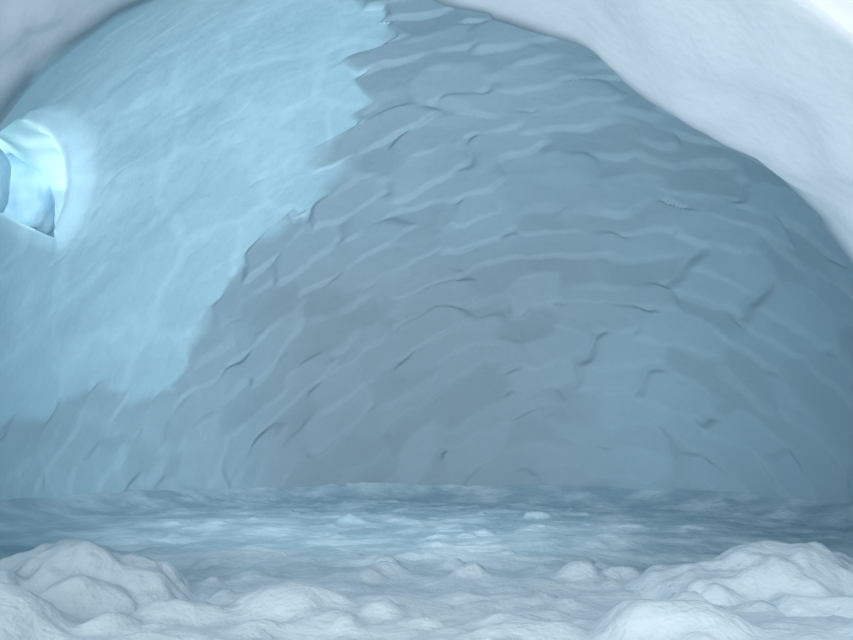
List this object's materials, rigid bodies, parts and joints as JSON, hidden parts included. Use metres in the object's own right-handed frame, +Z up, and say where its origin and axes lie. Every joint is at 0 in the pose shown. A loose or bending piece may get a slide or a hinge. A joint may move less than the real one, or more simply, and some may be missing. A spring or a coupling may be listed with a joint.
{
  "type": "igloo",
  "caption": "A small snow shelter: a thick domed wall of snow around a shovel-cut room, with a ragged arched entrance, a side window and a floor of trodden snow.",
  "frame": {"origin": "the middle of the shelter's foot, on the ground", "axes": "+X to the right as seen from the entrance, +Y from the entrance to the back, +Z up"},
  "size_m": [3.1798, 3.18, 1.69],
  "materials": {
    "wall_snow": "matte",
    "trodden_snow": "matte",
    "loose_snow": "matte"
  },
  "bodies": {
    "root": {"foot_wall_right_front": "wall_snow", "foot_wall_right": "wall_snow", "foot_wall_back_right": "wall_snow", "foot_wall_back": "wall_snow", "foot_wall_back_left": "wall_snow", "foot_wall_left": "wall_snow", "foot_wall_left_front": "wall_snow", "foot_jamb_left": "wall_snow", "foot_jamb_right": "wall_snow", "middle_wall_right_front": "wall_snow", "middle_wall_right": "wall_snow", "middle_wall_right_back": "wall_snow", "middle_wall_back_right": "wall_snow", "middle_wall_back_left": "wall_snow", "middle_wall_left_back": "wall_snow", "middle_wall_left": "wall_snow", "middle_wall_left_front": "wall_snow", "middle_jamb_left": "wall_snow", "middle_jamb_right": "wall_snow", "upper_wall_right_front": "wall_snow", "upper_wall_right": "wall_snow", "upper_wall_back_right": "wall_snow", "upper_wall_back_left": "wall_snow", "window_wall_back": "wall_snow", "window_wall_front": "wall_snow", "brow_left_end": "wall_snow", "brow_left": "wall_snow", "brow_right": "wall_snow", "brow_right_end": "wall_snow", "roof_right": "wall_snow", "roof_back_right": "wall_snow", "roof_back": "wall_snow", "roof_back_left": "wall_snow", "roof_left": "wall_snow", "roof_front_left": "wall_snow", "roof_front": "wall_snow", "roof_front_right": "wall_snow", "crown": "wall_snow", "floor": "trodden_snow", "threshold": "trodden_snow", "heap_left": "trodden_snow", "heap_right": "trodden_snow", "sill_chunk_large": "loose_snow", "sill_chunk_small": "loose_snow"}
  },
  "joints": []
}
